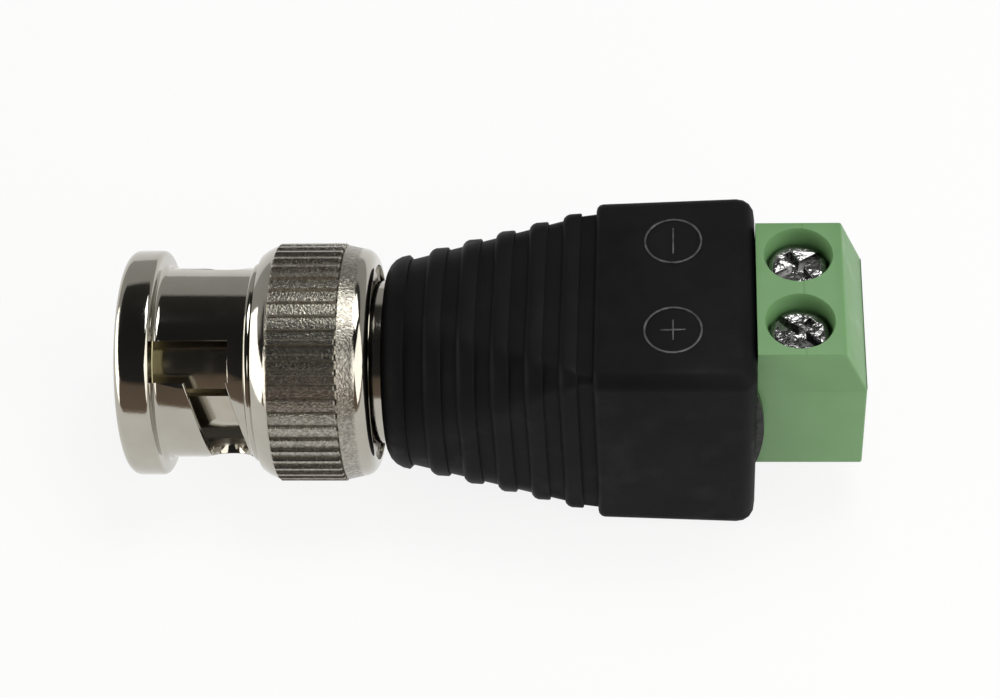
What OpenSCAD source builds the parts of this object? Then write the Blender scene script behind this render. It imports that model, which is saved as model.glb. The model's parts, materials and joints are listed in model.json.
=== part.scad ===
// Bayonet plug with a two-pole screw terminal in a ribbed moulded housing.
// X runs along the plug's axis, from the contact tip plane at X = 0 back to the terminal.
// Z is up, towards the clamp screws. All sizes are in millimetres.

/* [Coupling sleeve] */
// Radius of the bore that takes the mating rim
sleeve_bore_r = 4.88; // [4.86:0.01:4.95]
// Wall of the barrel round that bore
sleeve_wall = 0.95; // [0.9:0.01:1]
// How far the sleeve stands ahead of the outer contact's tip
sleeve_lead = 1.8; // [1.2:0.1:2.4]
// Whole length of the sleeve
sleeve_len = 15.25; // [15:0.05:16]
// Height of the front flange over the barrel
flange_step = 1.1; // [0.9:0.01:1.3]
// Length of the flange
flange_len = 2.2; // [1.8:0.05:2.4]
// Rounding of the flange's front edge
flange_front_round = 0.6; // [0.3:0.05:0.7]
// Rounding of the flange's rear edge
flange_rear_round = 0.3; // [0.2:0.05:0.4]
// Hollow rounding between the flange's rear face and the barrel
flange_fillet = 0.35; // [0.2:0.05:0.5]
// Height of the bead over the barrel, in front of the knurl's shoulder
bead_step = 0.29; // [0.2:0.01:0.4]
// Length of the bead
bead_len = 0.45; // [0.3:0.05:0.6]
// Step between the bead and the shoulder's arc
bead_gap = 0.11; // [0.05:0.01:0.2]
// Length of the rounded shoulder up to the knurl
shoulder_len = 1.1; // [1:0.05:1.3]
// Radius of the arc that the shoulder follows
shoulder_round = 2.7; // [2.2:0.1:3]
// Turn of that arc where it meets the knurl, past the radial direction's 90
shoulder_end_deg = 106; // [100:1:112]
// Length of the knurl
knurl_len = 4.1; // [3.8:0.1:4.4]
// Height of the knurl's ridges over the barrel
knurl_step = 1.48; // [1.4:0.01:1.6]
// Depth of the knurl's valleys
knurl_depth = 0.24; // [0.15:0.01:0.3]
// Number of straight ridges in the knurl
knurl_count = 50; // [40:1:60]
// Part of the knurl's pitch that is ridge
ridge_share = 0.5; // [0.35:0.05:0.6]
// Part of a ridge that is its flat crest
ridge_crest = 0.45; // [0.3:0.05:0.6]
// Bevel at the ends of the ridges
ridge_bevel = 0.08; // [0.05:0.01:0.15]
// Length of the smooth band behind the knurl
band_len = 1.92; // [1.8:0.01:2.1]
// Depth of the smooth band below the knurl's ridges
band_drop = 0.11; // [0.08:0.01:0.2]
// Fall of the band's radius towards its rear edge
band_fall = 0.2; // [0.1:0.05:0.25]
// Rounding of the sleeve's rear edge
rear_round = 0.9; // [0.5:0.05:0.95]
// Lead-in bevel at the bore's mouth
mouth_bevel = 0.3; // [0.2:0.05:0.4]
// Wall between the knurl's valleys and the rear chamber that holds the washers
chamber_wall = 1.07; // [1.05:0.01:1.15]

/* [Bayonet slots] */
// Number of cam slots round the sleeve
slot_count = 2; // [2:1:3]
// Width of a cam slot
slot_w = 2.5; // [2.2:0.05:2.6]
// Height of the first slot's entry, as an angle above the -Y side
slot_entry_deg = 52.2; // [30:0.1:60]
// Depth of the entry from the sleeve's front face
slot_entry_depth = 6.71; // [6.5:0.05:6.9]
// Depth of the entry groove inside the flange, from the bore
entry_groove_depth = 0.72; // [0.65:0.01:0.8]
// How far the slot's window bites into the flange's rear face
window_bite = 0.05; // [0.03:0.01:0.1]
// Turn from the entry to the locked place
lock_turn = 90; // [80:1:95]
// Height of the tilted plane that the cam follows, at the barrel's surface
cam_rise = 1.87; // [1.4:0.01:2]
// Angle by which the cam leads its plane's axis
cam_lead_deg = 16; // [10:1:20]
// Distance from the sleeve's front face to where that plane meets the axis
cam_mid = 4.42; // [4.2:0.01:4.6]
// Radius of the round pocket that holds the locked lug
pocket_r = 1.36; // [1.25:0.01:1.4]
// How far the pocket lies ahead of the cam's end
pocket_back = 0.25; // [0.1:0.05:0.4]

/* [Plug contacts] */
// Outside radius of the outer contact
contact_r = 4.05; // [4:0.01:4.07]
// Wall of the outer contact
contact_wall = 0.45; // [0.35:0.01:0.5]
// Length of the outer contact that stands free
contact_len = 7; // [6.5:0.1:7]
// Length of the outer contact's root in the body
contact_root_len = 1.4; // [1:0.1:1.6]
// Step in radius from the outer contact to its root
contact_root_step = 0.2; // [0.18:0.01:0.25]
// Bevel at the edges of the outer contact's tip
contact_bevel = 0.1; // [0.05:0.01:0.15]
// Number of slots between the spring fingers
finger_count = 4; // [4:1:6]
// Width of a finger slot
finger_slot_w = 0.5; // [0.3:0.05:0.6]
// Length of a finger slot
finger_slot_len = 5.4; // [4:0.1:5.8]
// Height of the first finger slot, as an angle above the -Y side
finger_slot_deg = 25.2; // [0:0.1:60]
// Radius of the centre pin
pin_r = 0.675; // [0.66:0.005:0.685]
// Rounding of the pin's tip
pin_round = 0.3; // [0.2:0.05:0.5]
// How far the pin's tip lies behind the outer contact's tip
pin_recess = 0.4; // [0.2:0.05:0.8]
// Length of the pin that stands free
pin_len = 5.6; // [5.3:0.1:5.8]
// Radius of the pin inside the insulators
pin_body_r = 0.95; // [0.85:0.01:1]
// Length of the front insulator behind the body's flange
insulator_grip = 2.9; // [2:0.1:4]
// Length of the pin behind the body
cup_show = 0.9; // [0.6:0.1:1.2]
// Radius of the solder cup's bore
cup_bore_r = 0.62; // [0.55:0.01:0.65]
// Depth of the solder cup
cup_depth = 1.4; // [1.2:0.1:1.6]

/* [Plug body] */
// Thickness of the body's flange
body_flange_len = 1.2; // [1:0.05:1.3]
// Bevel at the flange's front edge
body_bevel = 0.15; // [0.1:0.05:0.3]
// Step from the sleeve's chamber down to the neck that enters the housing
neck_step = 1; // [0.95:0.01:1.1]
// Length of neck inside the housing
neck_socket_len = 3; // [2.5:0.1:3.5]
// Step from the neck down to the ringed shank behind it
shank_step = 0.7; // [0.5:0.01:0.9]
// Length of the shank
shank_len = 4.5; // [4:0.1:5]
// Number of grip grooves round the shank
shank_grooves = 4; // [2:1:5]
// Depth of a grip groove
shank_groove_depth = 0.45; // [0.4:0.01:0.5]
// Bore between the two insulators
body_bore_r = 2.4; // [2:0.05:2.6]
// Radius of the rear insulator
rear_insulator_r = 3; // [2.8:0.05:3.2]
// Length of the rear insulator
rear_insulator_len = 2.5; // [2:0.1:3]

/* [Washers] */
// Thickness of the sealing gasket
gasket_len = 0.65; // [0.5:0.05:0.7]
// Radial play of the sealing gasket in the sleeve's bore
gasket_play = 0.18; // [0.15:0.01:0.25]
// Height of the wave washer at rest
wave_len = 0.9; // [0.8:0.05:1]
// Sheet thickness of the wave washer
wave_sheet = 0.2; // [0.15:0.01:0.25]
// Number of waves round the wave washer
wave_count = 3; // [3:1:4]
// Thickness of the thrust washer
thrust_len = 0.45; // [0.3:0.05:0.6]
// Radial gap between the retaining ring and the neck
ring_play = 0.45; // [0.35:0.01:0.6]
// Bevel at the retaining ring's rear
ring_bevel = 0.25; // [0.1:0.05:0.3]
// How far the retaining ring lies inside the sleeve's rear face
ring_recess = 0.35; // [0.2:0.05:0.5]

/* [Housing] */
// Gap between the sleeve's rear face and the housing's front face
neck_show = 0.61; // [0.5:0.01:0.8]
// Draft of the square block: how much its half size shrinks from its rear, level with the knurl, to its front
block_draft = 0.22; // [0.1:0.01:0.3]
// Step in half size from the block's front down to the ribbed boot
boot_step = 0.34; // [0.3:0.01:0.45]
// Shrinking of the boot's half size towards its round front end
boot_draft = 0.28; // [0.2:0.01:0.4]
// Extra corner radius with which the boot's corners start at its front
corner_lead = 0.65; // [0.3:0.05:0.8]
// How much smaller the corner radius ends at the boot's rear than on the block
corner_lag = 0.6; // [0.3:0.05:0.6]
// Length of the ribbed boot
boot_len = 12.82; // [12.5:0.01:13]
// Length of the square block
block_len = 9.55; // [9.3:0.01:9.8]
// Number of ribs on the boot
rib_count = 6; // [5:1:7]
// Length of the foremost rib with its groove
first_pitch = 2.6; // [2.4:0.01:2.8]
// Part of a rib's pitch that is crest
crest_share = 0.56; // [0.4:0.01:0.7]
// Depth of the grooves between ribs
groove_depth = 0.26; // [0.15:0.01:0.35]
// Extra height of a rib's front edge over its rear edge
rib_slope = 0.12; // [0:0.01:0.2]
// Length of the rounding at a rib's front edge
rib_front_round = 0.4; // [0.2:0.05:0.5]
// Rounding of a rib's rear edge
rib_rear_round = 0.07; // [0.05:0.01:0.1]
// Rounding of the boot's front edge
front_round = 1.3; // [1:0.05:1.4]
// Corner radius of the square block
block_corner_r = 1; // [0.8:0.05:1.5]
// Rounding of the block's front edge
block_front_round = 0.4; // [0.2:0.05:0.6]
// Rounding of the block's rear rim
block_rear_round = 1.1; // [0.8:0.05:1.3]
// Wall of the boot round its inner chamber, at the boot's rear
boot_wall = 1.95; // [1.8:0.05:2.2]
// Wall of the block round its inner chamber, at the block's front
block_wall = 1.39; // [1.35:0.01:1.45]
// Length of the block's chamber
block_chamber_len = 9.4; // [8:0.1:9.5]

/* [Sealing resin] */
// Depth of the resin that closes the housing's rear
resin_len = 1.3; // [1:0.1:1.6]
// How far the resin bulges out beside the terminal block
bulge_h = 0.5; // [0.2:0.05:0.6]
// Height of the bulge along the terminal block's side
bulge_len = 6.9; // [5:0.1:7.2]
// Height of the bulge's middle above the axis
bulge_z = 0.55; // [0:0.05:1]

/* [Terminal block] */
// Distance between the two poles
pitch = 5.08; // [5:0.08:5.08]
// How much lower the block's top lies than the housing's
term_drop = 0.26; // [0.2:0.01:0.4]
// Whole height of the block
term_h = 10.68; // [10.5:0.01:10.8]
// Length of the block outside the housing
term_len = 6.48; // [6.4:0.01:6.7]
// Length of the sloping front at the top
slope_len = 1.34; // [1.2:0.01:1.5]
// Height of the sloping front
slope_h = 3.42; // [3.2:0.01:3.6]
// Depth of the step between the side's upper and lower part
side_step = 0.08; // [0.04:0.01:0.15]
// Height of that step above the axis
side_step_z = 3.6; // [3.4:0.05:3.8]
// Length of the tongue inside the housing
tongue_len = 2.5; // [2:0.1:3]
// Half width of the tongue
tongue_half = 4.6; // [4.3:0.05:4.7]
// Height of the tongue's top above the axis
tongue_top = 4.8; // [4.5:0.05:5]
// Height of the tongue's underside above the axis
tongue_bottom = -2.7; // [-2.9:0.05:-2.5]
// Width of each pole's cell
cell_w = 3.9; // [3.8:0.02:4]
// Length of each pole's cell
cell_len = 3.7; // [3.6:0.02:3.8]
// Width of a wire port
port_w = 2.9; // [2.6:0.05:3]
// Length of the funnel at the port's mouth
funnel_len = 0.8; // [0.5:0.05:1]
// Widening of the funnel on each side
funnel_wide = 0.35; // [0.2:0.05:0.4]

/* [Clamp screws and cages] */
// Distance from the housing's rear face to the screws' axis
screw_offset = 2.53; // [2.5:0.01:2.6]
// Radius of a screw's head
head_r = 1.85; // [1.8:0.01:1.9]
// Bevel at the edges of a screw's head and tip
screw_bevel = 0.2; // [0.1:0.05:0.3]
// Thickness of a screw's head
head_h = 1.1; // [1:0.05:1.2]
// Depth of the head's top below the block's top
head_recess = 1.05; // [0.9:0.05:1.1]
// Radius of the screws' thread
thread_r = 1.45; // [1.4:0.01:1.48]
// Extra radius of a screw's well over its head
well_gap = 0.23; // [0.15:0.01:0.25]
// Extra radius of the hole under a head over the thread
neck_gap = 0.15; // [0.1:0.01:0.2]
// Bevel at a screw well's mouth
well_bevel = 0.2; // [0.1:0.05:0.25]
// Width of the slot in a head
drive_w = 0.52; // [0.4:0.01:0.6]
// Depth of the slot in a head
drive_depth = 0.45; // [0.3:0.05:0.5]
// Length of the cross in a head, as a part of its width
cross_share = 0.62; // [0.5:0.01:0.7]
// Turn of the plus screw's slot from the X direction
plus_drive_deg = 140; // [0:1:180]
// Turn of the minus screw's slot from the X direction
minus_drive_deg = 32; // [0:1:180]
// Height of the cage's top wall above the bar at rest
cage_gap = 0.05; // [0.04:0.01:0.1]
// Thickness of a cage's top wall
cage_top = 0.9; // [0.8:0.05:1]
// Thickness of a cage's side and bottom walls
cage_wall = 0.4; // [0.3:0.01:0.4]
// Height of the cage's window
cage_window_h = 3.45; // [3.3:0.05:3.5]
// Rise of a cage when its screw is driven home
cage_travel = 1.875; // [1.5:0.005:1.875]
// Height of the current bar's top above the axis
bar_top = 1.4; // [1.35:0.01:1.45]
// Thickness of a current bar
bar_t = 0.8; // [0.6:0.05:0.8]
// Width of a current bar
bar_w = 2.4; // [2.2:0.05:2.5]
// Width of the bar's solder tail
tail_w = 1.3; // [1.2:0.05:1.6]
// Length of the solder tail behind the tongue
tail_len = 2.4; // [2:0.1:2.8]

/* [Wires] */
// Radius of the two inner wires
wire_r = 0.6; // [0.5:0.01:0.6]
// Straight length at each end of a wire
wire_stub = 1.5; // [1:0.1:2]

/* [Clearances] */
// Radial running clearance of turning and sliding pieces
run_gap = 0.05; // [0.03:0.01:0.06]
// Gap between pieces that are seated on each other
seat_gap = 0.02; // [0.01:0.01:0.03]
// Gap between the sleeve's moving faces and the body
loose_gap = 0.15; // [0.12:0.01:0.18]
// Play of the clamp screws' heads and tips along their axis
screw_play = 0.03; // [0.02:0.01:0.05]

/* [Hidden] */
$fn = 96;
eps = 0.01;
far = 40;

// Radii of the sleeve, and what fits in or on it
barrel_r = sleeve_bore_r + sleeve_wall;
flange_r = barrel_r + flange_step;
bead_r = barrel_r + bead_step;
knurl_r = barrel_r + knurl_step;
valley_r = knurl_r - knurl_depth;
band_r = knurl_r - band_drop;
chamber_r = valley_r - chamber_wall;
entry_groove_r = sleeve_bore_r + entry_groove_depth;
gasket_r = sleeve_bore_r - gasket_play;
body_flange_r = chamber_r - loose_gap;
neck_r = chamber_r - neck_step;
shank_r = neck_r - shank_step;
ring_bore_r = neck_r + ring_play;
washer_bore_r = neck_r + loose_gap;
washer_r = chamber_r - loose_gap;

// Half sizes of the housing, which lies level with the sleeve's knurl
block_rear_half = knurl_r;
block_front_half = block_rear_half - block_draft;
boot_rear_half = block_front_half - boot_step;
boot_front_half = boot_rear_half - boot_draft;
boot_chamber_half = boot_rear_half - boot_wall;
block_chamber_half = block_front_half - block_wall;
term_top = block_rear_half - term_drop;

// Stations along the plug's axis, from front to rear
sleeve_x0 = -sleeve_lead;
sleeve_x1 = sleeve_x0 + sleeve_len;
flange_x1 = sleeve_x0 + flange_len;
knurl_x1 = sleeve_x1 - band_len;
knurl_x0 = knurl_x1 - knurl_len;
shoulder_x0 = knurl_x0 - shoulder_len;
bead_x0 = shoulder_x0 - bead_len;
gasket_x0 = contact_len + seat_gap;
body_x0 = gasket_x0 + gasket_len + seat_gap;
web_x1 = body_x0 - loose_gap;
body_flange_x1 = body_x0 + body_flange_len;
wave_x0 = body_flange_x1 + seat_gap;
thrust_x0 = wave_x0 + wave_len + seat_gap;
ring_x0 = thrust_x0 + thrust_len + run_gap;
ring_x1 = sleeve_x1 - ring_recess;
housing_x0 = sleeve_x1 + neck_show;
neck_x1 = housing_x0 + neck_socket_len;
shank_x1 = neck_x1 + shank_len;
block_x0 = housing_x0 + boot_len;
block_x1 = block_x0 + block_len;
// Stations inside the plug body
contact_root_r = contact_r - contact_root_step;
contact_x1 = contact_len + contact_root_len;
insulator_x0 = pin_recess + pin_len;
insulator_x1 = body_flange_x1 + insulator_grip;
rear_insulator_x0 = shank_x1 - rear_insulator_len;
pin_x1 = shank_x1 + cup_show;

// Stations of the terminal block
term_x1 = block_x1 + term_len;
term_bottom = term_top - term_h;
term_half = pitch;
screw_x = block_x1 + screw_offset;
tongue_x0 = block_x1 - tongue_len;
head_top = term_top - head_recess;
head_seat = head_top - head_h;
screw_hole_r = head_r + well_gap;
cage_x_len = cell_len - 2 * run_gap;
cage_w = cell_w - 2 * run_gap;
cage_window_w = cage_w - 2 * cage_wall;
cage_window_top = bar_top + cage_gap;
cage_z1 = cage_window_top + cage_top;
cage_window_bottom = cage_window_top - cage_window_h;
cage_z0 = cage_window_bottom - cage_wall;
roof_bottom = cage_z1 + cage_travel + run_gap;
bar_bottom = bar_top - bar_t;
bar_x1 = screw_x + cage_x_len / 2 - 2 * run_gap;
tail_x0 = tongue_x0 - tail_len;
bar_mid = (bar_top + bar_bottom) / 2;

// Turns a shape built along Z so that it lies along X
module along_x() rotate([0, 90, 0]) children();

// Angle round the axis, in the shape's own frame, for a height angle above the -Y side
function round_deg(height_deg) = 270 - height_deg;

// Points of a circular arc in a profile of radius over station
function arc(x, r, radius, from_deg, to_deg, steps = 6) =
    [for (i = [0:steps]) let (a = from_deg + (to_deg - from_deg) * i / steps)
        [r + radius * sin(a), x + radius * cos(a)]];

// Revolves a profile of [radius, station] points round the plug's axis
module turned(points) along_x() rotate_extrude() polygon(points);

// A plain ring between two stations
module ring(x0, x1, outer_r, inner_r)
    turned([[inner_r, x0], [outer_r, x0], [outer_r, x1], [inner_r, x1]]);

// A bore cut between two stations
module bore(x0, x1, r) translate([x0, 0, 0]) along_x() cylinder(r = r, h = x1 - x0);

// The sleeve's turned outside, with the knurl's zone at its valley radius
module sleeve_turned() {
    bead_round = bead_len / 2;
    shoulder_start_deg = acos(cos(shoulder_end_deg) - (shoulder_len - bead_gap) / shoulder_round);
    rear_r = band_r - band_fall;
    turned(concat(
        [[0, sleeve_x0]],
        arc(sleeve_x0 + flange_front_round, flange_r - flange_front_round, flange_front_round, 180, 90),
        arc(flange_x1 - flange_rear_round, flange_r - flange_rear_round, flange_rear_round, 90, 0, 4),
        arc(flange_x1 + flange_fillet, barrel_r + flange_fillet, flange_fillet, 180, 270, 5),
        [[barrel_r, bead_x0]],
        arc(bead_x0 + bead_round, bead_r - bead_round, bead_round, 180, 60, 5),
        arc(knurl_x0 - shoulder_round * cos(shoulder_end_deg), knurl_r - shoulder_round,
            shoulder_round, shoulder_start_deg, shoulder_end_deg),
        [[valley_r, knurl_x0], [valley_r, knurl_x1], [band_r, knurl_x1 + knurl_depth / 2]],
        arc(sleeve_x1 - rear_round, rear_r - rear_round, rear_round, 90, 0, 8),
        [[0, sleeve_x1]]));
}

// Straight ridges round the sleeve, with bevelled ends
module knurl() {
    step = 360 / knurl_count;
    root_r = valley_r - knurl_depth / 2;
    ridge = step * ridge_share;
    crest = ridge * ridge_crest;
    over = ridge_bevel + eps;
    intersection() {
        translate([knurl_x0, 0, 0]) along_x() linear_extrude(knurl_len)
            polygon([for (i = [0:knurl_count - 1], p = [
                    [root_r, -step / 2], [valley_r, -ridge / 2], [knurl_r, -crest / 2],
                    [knurl_r, crest / 2], [valley_r, ridge / 2]])
                let (a = i * step + p[1]) [p[0] * cos(a), p[0] * sin(a)]]);
        turned([[0, knurl_x0], [knurl_r - ridge_bevel, knurl_x0], [knurl_r + eps, knurl_x0 + over],
            [knurl_r + eps, knurl_x1 - over], [knurl_r - ridge_bevel, knurl_x1], [0, knurl_x1]]);
    }
}

// A radial cut of the slot's width, from the bore outwards, between two stations
module slot_cut(x0, x1) translate([x0, 0, 0]) along_x()
    translate([sleeve_bore_r - 2, -slot_w / 2, 0]) cube([far, slot_w, x1 - x0]);

// One cam slot: groove inside the flange, entry, cam between tilted planes, and round pocket
module cam_slot() {
    entry_x1 = sleeve_x0 + slot_entry_depth;
    window_x0 = flange_x1 - window_bite;
    cam_x = sleeve_x0 + cam_mid;
    pocket_x = cam_x + cam_rise * sin(lock_turn + cam_lead_deg) - pocket_back;
    tilt = atan(cam_rise / barrel_r);
    sheet = slot_w * cos(tilt);
    intersection() {
        slot_cut(sleeve_x0 - 1, window_x0 + eps);
        bore(sleeve_x0 - 1, window_x0 + eps, entry_groove_r);
    }
    slot_cut(window_x0, entry_x1);
    intersection() {
        along_x() rotate_extrude(angle = lock_turn) translate([sleeve_bore_r - 1, sleeve_x0])
            square([4, sleeve_len]);
        translate([cam_x, 0, 0]) along_x() rotate([0, 0, -cam_lead_deg]) rotate([tilt, 0, 0])
            translate([-far / 2, -far / 2, -sheet / 2]) cube([far, far, sheet]);
    }
    translate([pocket_x, 0, 0]) along_x() rotate([0, 0, lock_turn]) rotate([0, 90, 0])
        translate([0, 0, sleeve_bore_r - 1]) cylinder(r = pocket_r, h = 4);
}

module coupling_sleeve() {
    color([0.72, 0.71, 0.68]) difference() {
        union() {
            sleeve_turned();
            knurl();
        }
        bore(sleeve_x0 - eps, web_x1 + eps, sleeve_bore_r);
        bore(web_x1, sleeve_x1 + eps, chamber_r);
        // lead-in at the mouth
        turned([[0, sleeve_x0 - eps], [sleeve_bore_r + mouth_bevel, sleeve_x0 - eps],
            [sleeve_bore_r, sleeve_x0 + mouth_bevel], [0, sleeve_x0 + mouth_bevel]]);
        for (i = [0:slot_count - 1])
            rotate([round_deg(slot_entry_deg) + i * 360 / slot_count, 0, 0]) cam_slot();
    }
}

module retaining_ring()
    color([0.7, 0.69, 0.66]) turned([
        [ring_bore_r, ring_x0], [chamber_r - seat_gap, ring_x0], [chamber_r - seat_gap, ring_x1],
        [ring_bore_r + ring_bevel, ring_x1], [ring_bore_r, ring_x1 - ring_bevel]]);

module thrust_washer()
    color([0.74, 0.73, 0.7]) ring(thrust_x0, thrust_x0 + thrust_len, washer_r, washer_bore_r);

// A sheet ring whose height follows a wave round the axis
module wave_washer() {
    steps = 48;
    swing = (wave_len - wave_sheet) / 2;
    mid = wave_x0 + wave_len / 2;
    inner_r = washer_bore_r;
    outer_r = washer_r - 2 * run_gap;
    function point(i, r, side) = let (a = 360 * i / steps)
        [mid + swing * cos(wave_count * a) + side * wave_sheet / 2, r * cos(a), r * sin(a)];
    points = [for (i = [0:steps - 1])
        each [point(i, inner_r, -1), point(i, outer_r, -1), point(i, outer_r, 1), point(i, inner_r, 1)]];
    faces = [for (i = [0:steps - 1], k = [0:3])
        let (a = 4 * i + k, b = 4 * i + (k + 1) % 4, n = 4 * steps)
        each [[a, b, (b + 4) % n], [a, (b + 4) % n, (a + 4) % n]]];
    color([0.66, 0.66, 0.66]) polyhedron(points, faces);
}

module sealing_gasket()
    color([0.25, 0.24, 0.24]) ring(gasket_x0, gasket_x0 + gasket_len, gasket_r, contact_root_r + seat_gap);

module contact_sleeve() {
    inner_r = contact_r - contact_wall;
    lip = contact_bevel;
    color([0.78, 0.72, 0.55]) difference() {
        turned([[inner_r + lip, 0], [contact_r - lip, 0], [contact_r, lip], [contact_r, contact_len],
            [contact_root_r, contact_len], [contact_root_r, contact_x1], [inner_r, contact_x1],
            [inner_r, lip]]);
        for (i = [0:finger_count - 1])
            rotate([round_deg(finger_slot_deg) + i * 360 / finger_count, 0, 0])
                along_x() translate([0, -finger_slot_w / 2, -1])
                    cube([far, finger_slot_w, finger_slot_len + 1]);
    }
}

module plug_insulator()
    color([0.93, 0.92, 0.88]) ring(insulator_x0, insulator_x1, contact_r - contact_wall - seat_gap,
        pin_body_r + seat_gap);

module rear_insulator()
    color([0.93, 0.92, 0.88]) ring(rear_insulator_x0, shank_x1, rear_insulator_r, pin_body_r + seat_gap);

module centre_pin() {
    color([0.86, 0.7, 0.36]) difference() {
        turned(concat([[0, pin_recess]],
            arc(pin_recess + pin_round, pin_r - pin_round, pin_round, 180, 90, 5),
            [[pin_r, insulator_x0], [pin_body_r, insulator_x0], [pin_body_r, pin_x1], [0, pin_x1]]));
        bore(pin_x1 - cup_depth, pin_x1 + eps, cup_bore_r);
    }
}

module plug_body() {
    socket_r = contact_root_r + seat_gap;
    bore_r = contact_r - contact_wall;
    groove_pitch = shank_len / (shank_grooves + 0.5);
    color([0.72, 0.71, 0.68]) difference() {
        turned([[0, body_x0], [body_flange_r - body_bevel, body_x0], [body_flange_r, body_x0 + body_bevel],
            [body_flange_r, body_flange_x1], [neck_r, body_flange_x1], [neck_r, neck_x1],
            [shank_r, neck_x1], [shank_r, shank_x1], [0, shank_x1]]);
        bore(body_x0 - eps, contact_x1 + seat_gap, socket_r);
        bore(contact_x1, insulator_x1 + seat_gap, bore_r);
        bore(insulator_x1, shank_x1, body_bore_r);
        bore(rear_insulator_x0 - seat_gap, shank_x1 + eps, rear_insulator_r + seat_gap);
        for (i = [0:shank_grooves - 1]) let (x = neck_x1 + groove_pitch * (i + 0.5))
            ring(x, x + groove_pitch / 2, shank_r + 1, shank_r - shank_groove_depth);
    }
}

// Share of the way along the boot, 0 at its front face and 1 at the block
function along_boot(x) = (x - housing_x0) / boot_len;

// Half size of the boot's rib crests, and its corner radius, which falls from a full circle
function boot_half(x) = boot_front_half + (boot_rear_half - boot_front_half) * along_boot(x);
function boot_corner(x) = let (start = boot_front_half + corner_lead, end = block_corner_r - corner_lag)
    min(boot_half(x), start + (end - start) * along_boot(x));

// One ring of points: a square of half size h with corner radius r, at station x
corner_steps = 11;
least_corner_r = 0.4;
function ring_points(x, h, r) = [for (q = [0:3], i = [0:corner_steps - 1])
    let (a = 90 * q + 90 * i / (corner_steps - 1), c = h - r,
        cy = (q == 0 || q == 3 ? 1 : -1) * c, cz = (q < 2 ? 1 : -1) * c)
    [x, cy + r * cos(a), cz + r * sin(a)]];

// A boot ring, sunk by a depth below the crest line
function boot_ring(x, depth) = let (h = boot_half(x) - depth, r = max(least_corner_r, boot_corner(x) - depth))
    ring_points(x, h, min(r, h - 2 * eps));

// A block ring at a station, sunk by a depth
function block_ring(x, depth) =
    let (h = block_front_half + (block_rear_half - block_front_half) * (x - block_x0) / block_len)
    ring_points(x, h - depth, max(least_corner_r, block_corner_r - depth));

// Start of each rib, the foremost being longer than the rest
rib_pitch = (boot_len - first_pitch) / (rib_count - 1);
function rib_x(i) = housing_x0 + (i == 0 ? 0 : first_pitch + rib_pitch * (i - 1));
function rib_end(i) = rib_x(i) + crest_share * (rib_x(i + 1) - rib_x(i));

// An edge's rounding as [advance, depth] pairs: from a face to a side, or back again
function rounding(radius, steps) =
    [for (k = [0:steps]) let (a = 90 * k / steps) radius * [1 - cos(a), 1 - sin(a)]];

// The boot's rings: a rounded nose, then ribs whose crests slope down to the rear
boot_rings = [for (i = [0:rib_count - 1]) let (x0 = rib_x(i), x1 = rib_end(i), s = rib_slope / 2)
    each concat(
        i == 0 ? [for (p = rounding(front_round, 5)) boot_ring(x0 + p[0], p[1] - s)]
            : [for (p = rounding(1, 3))
                boot_ring(x0 + rib_front_round * p[0], (groove_depth + s) * p[1] - s)],
        [boot_ring(x1 - rib_rear_round, s), boot_ring(x1, rib_rear_round + s), boot_ring(x1, groove_depth)])];

// The block's rings: a rounded front edge and a rounded rear rim
block_rings = concat(
    [boot_ring(block_x0, groove_depth)],
    [for (p = rounding(block_front_round, 3)) block_ring(block_x0 + p[0], p[1])],
    [for (k = [4:-1:0]) let (p = rounding(block_rear_round, 4)[k]) block_ring(block_x1 - p[0], p[1])]);

// Skins a list of rings, each with n points, and closes both ends
module skin(rings) {
    n = len(rings[0]);
    last = len(rings) - 1;
    polyhedron([for (r = rings) each r], concat(
        [[for (k = [0:n - 1]) k]],
        [for (i = [0:last - 1], k = [0:n - 1]) let (a = i * n + k, b = i * n + (k + 1) % n)
            each [[a, a + n, b + n], [a, b + n, b]]],
        [[for (k = [n - 1:-1:0]) last * n + k]]));
}

// A square chamber round the axis between two stations
module chamber(x0, x1, half)
    translate([x0, -half, -half]) cube([x1 - x0, 2 * half, 2 * half]);

module housing() {
    chamber_x0 = block_x1 - block_chamber_len;
    color([0.12, 0.12, 0.13]) difference() {
        skin(concat(boot_rings, block_rings));
        bore(housing_x0 - eps, neck_x1 + seat_gap, neck_r + seat_gap);
        bore(neck_x1, shank_x1 + eps, shank_r + seat_gap);
        chamber(shank_x1, chamber_x0 + eps, boot_chamber_half);
        chamber(chamber_x0, block_x1 + eps, block_chamber_half);
    }
}

// A lens that swells out of the resin beside the terminal block
module bulge(side) {
    lens_r = (bulge_len * bulge_len / 4 + bulge_h * bulge_h) / (2 * bulge_h);
    y0 = term_half + seat_gap;
    y1 = block_chamber_half - seat_gap;
    intersection() {
        translate([block_x1 + bulge_h - lens_r, side > 0 ? y0 : -y1, bulge_z])
            rotate([-90, 0, 0]) cylinder(r = lens_r, h = y1 - y0);
        translate([block_x1 - eps, -far / 2, -far / 2]) cube([far, far, far]);
    }
}

module sealing_resin() {
    half = block_chamber_half - seat_gap;
    x0 = block_x1 - resin_len;
    color([0.1, 0.1, 0.1]) difference() {
        union() {
            translate([x0, -half, -half]) cube([resin_len - seat_gap, 2 * half, 2 * half]);
            for (side = [-1, 1]) translate([-seat_gap, 0, 0]) bulge(side);
        }
        translate([x0 - 1, -tongue_half - seat_gap, tongue_bottom - seat_gap])
            cube([resin_len + 1, 2 * tongue_half + 2 * seat_gap, tongue_top - tongue_bottom + 2 * seat_gap]);
    }
}

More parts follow.
